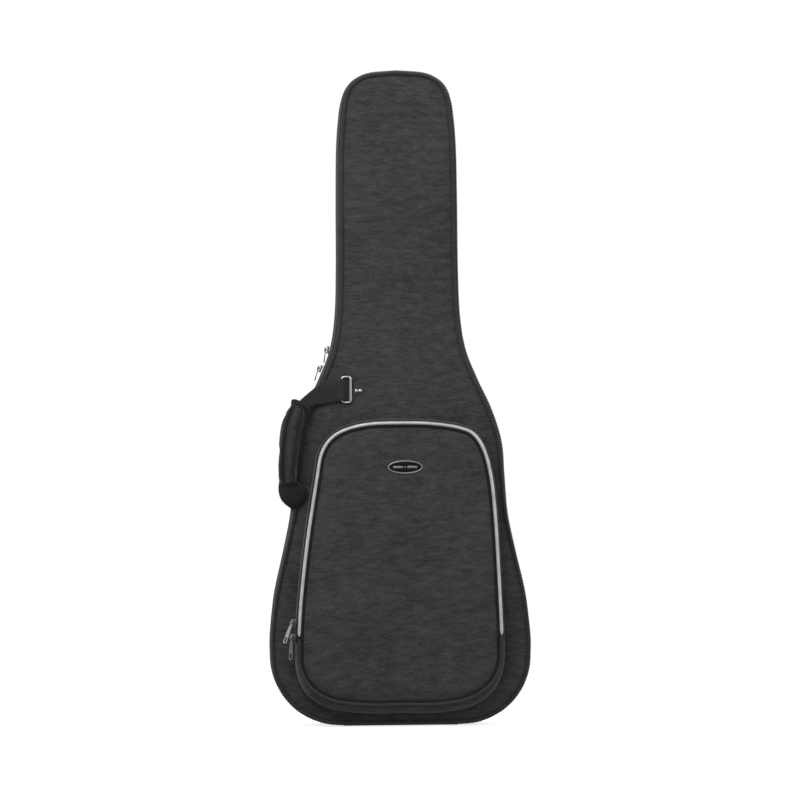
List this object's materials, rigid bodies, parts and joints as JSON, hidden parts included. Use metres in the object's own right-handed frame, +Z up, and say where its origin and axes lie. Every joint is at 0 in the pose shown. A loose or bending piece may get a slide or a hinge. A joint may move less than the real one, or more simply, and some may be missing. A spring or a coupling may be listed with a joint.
{
  "type": "padded gig bag",
  "caption": "Padded electric-guitar gig bag with a zipped front lid, piped accessory pocket, side handle with a metal ring, and padded shoulder straps.",
  "frame": {"origin": "centre of the flat base strip that the bag stands on", "axes": "+Z up along the bag's length, -Y out of the front (pocket) face, +X to the right seen from the front"},
  "size_m": [0.426, 0.1932, 1.07],
  "materials": {
    "cloth": "heather charcoal woven polyester with fine horizontal slub",
    "gusset_cloth": "dark woven polyester",
    "foam": "closed-cell foam padding",
    "plush": "short-pile plush lining",
    "dark_piping": "woven piping",
    "reflective_piping": "silver reflective piping",
    "zip_tape": "woven zip tape with coil teeth",
    "rubber": "textured rubber",
    "webbing": "ribbed nylon webbing",
    "grip_sleeve": "padded woven sleeve",
    "strap_padding": "padded woven strap",
    "moulded_plastic": "satin black moulded plastic",
    "badge_metal": "satin metal rim",
    "polished_metal": "nickel plate",
    "zip_metal": "gunmetal plated zinc"
  },
  "bodies": {
    "rear_shell": {"back_panel": "cloth", "back_foam": "foam", "back_lining": "plush", "rear_gusset": "gusset_cloth", "rear_gusset_foam": "foam", "rear_gusset_lining": "plush", "rear_piping": "dark_piping", "rear_zip_tape": "zip_tape", "base_gusset": "gusset_cloth", "base_foam": "foam", "base_lining": "plush", "base_guard": "rubber", "strap_pin_pad": "rubber", "neck_cradle": "plush", "neck_strap_base": "webbing", "hanging_loop": "webbing", "strap_yoke": "strap_padding", "shoulder_pad_left": "strap_padding", "shoulder_pad_right": "strap_padding", "ladder_lock_left": "moulded_plastic", "ladder_lock_right": "moulded_plastic", "strap_webbing_left": "webbing", "strap_webbing_right": "webbing", "strap_tab_left": "strap_padding", "strap_tab_right": "strap_padding"},
    "front_lid": {"front_panel": "cloth", "front_foam": "foam", "front_lining": "plush", "front_gusset": "gusset_cloth", "front_gusset_foam": "foam", "front_gusset_lining": "plush", "front_piping": "dark_piping", "front_zip_tape": "zip_tape", "pocket_gusset": "gusset_cloth", "pocket_lower_panel": "cloth", "pocket_lower_piping": "dark_piping", "pocket_zip_tape": "zip_tape", "ring_tab": "strap_padding", "ring_rivets": "polished_metal", "handle_webbing": "webbing", "handle_anchor": "webbing"},
    "pocket_door": {"pocket_door": "cloth", "pocket_door_piping": "reflective_piping", "pocket_door_tape": "zip_tape", "badge_plate": "moulded_plastic", "badge_rim": "badge_metal"},
    "handle": {"handle_grip": "grip_sleeve", "handle_twist": "webbing", "handle_lower_webbing": "webbing"},
    "handle_ring": {"handle_ring": "polished_metal"},
    "neck_strap": {"neck_strap": "webbing"},
    "main_upper_slider": {"main_slider_upper": "zip_metal"},
    "main_upper_pull": {"main_puller_upper": "zip_metal"},
    "main_lower_slider": {"main_slider_lower": "zip_metal"},
    "main_lower_pull": {"main_puller_lower": "zip_metal"},
    "pocket_upper_slider": {"pocket_slider_upper": "zip_metal"},
    "pocket_upper_pull": {"pocket_puller_upper": "zip_metal"},
    "pocket_lower_slider": {"pocket_slider_lower": "zip_metal"},
    "pocket_lower_pull": {"pocket_puller_lower": "zip_metal"}
  },
  "joints": [
    {"name": "lid_hinge", "type": "hinge", "parent": "rear_shell", "child": "front_lid", "pos_m": [0, -0.054, 0.002], "axis": [1, 0, 0], "range_deg": [0, 160]},
    {"name": "pocket_door_hinge", "type": "hinge", "parent": "front_lid", "child": "pocket_door", "pos_m": [0, -0.094, 0.14], "axis": [1, 0, 0], "range_deg": [0, 110]},
    {"name": "handle_swing", "type": "hinge", "parent": "front_lid", "child": "handle", "pos_m": [-0.164, -0.061, 0.352], "axis": [0.0514, -0.0171, 0.9985], "range_deg": [0, 50]},
    {"name": "ring_flip", "type": "hinge", "parent": "front_lid", "child": "handle_ring", "pos_m": [-0.0945, -0.0594, 0.549], "axis": [0, 0, -1], "range_deg": [0, 100]},
    {"name": "neck_strap_fold", "type": "hinge", "parent": "rear_shell", "child": "neck_strap", "pos_m": [-0.042, 0.0028, 0.761], "axis": [0, 0, -1], "range_deg": [0, 20]},
    {"name": "main_upper_slide", "type": "slide", "parent": "rear_shell", "child": "main_upper_slider", "axis": [0.1702, 0, 0.9854], "range_m": [0, 0.045]},
    {"name": "main_upper_pull_swing", "type": "hinge", "parent": "main_upper_slider", "child": "main_upper_pull", "pos_m": [-0.11761, 0, 0.61522], "axis": [0, 1, 0], "range_deg": [0, 130]},
    {"name": "main_lower_slide", "type": "slide", "parent": "rear_shell", "child": "main_lower_slider", "axis": [-0.3972, 0, -0.9178], "range_m": [0, 0.092]},
    {"name": "main_lower_pull_swing", "type": "hinge", "parent": "main_lower_slider", "child": "main_lower_pull", "pos_m": [-0.12941, 0, 0.58518], "axis": [0, 1, 0], "range_deg": [0, 130]},
    {"name": "pocket_upper_slide", "type": "slide", "parent": "front_lid", "child": "pocket_upper_slider", "axis": [0.1011, 0, 0.9949], "range_m": [0, 0.12]},
    {"name": "pocket_upper_pull_swing", "type": "hinge", "parent": "pocket_upper_slider", "child": "pocket_upper_pull", "pos_m": [-0.17852, -0.09074, 0.17143], "axis": [-0.7035, 0.7071, 0.0715], "range_deg": [0, 110]},
    {"name": "pocket_lower_slide", "type": "slide", "parent": "front_lid", "child": "pocket_lower_slider", "axis": [0.0384, 0, 0.9993], "range_m": [0, 0.006]},
    {"name": "pocket_lower_pull_swing", "type": "hinge", "parent": "pocket_lower_slider", "child": "pocket_lower_pull", "pos_m": [-0.17914, -0.09074, 0.14716], "axis": [-0.7066, 0.7071, 0.0271], "range_deg": [0, 25]}
  ]
}
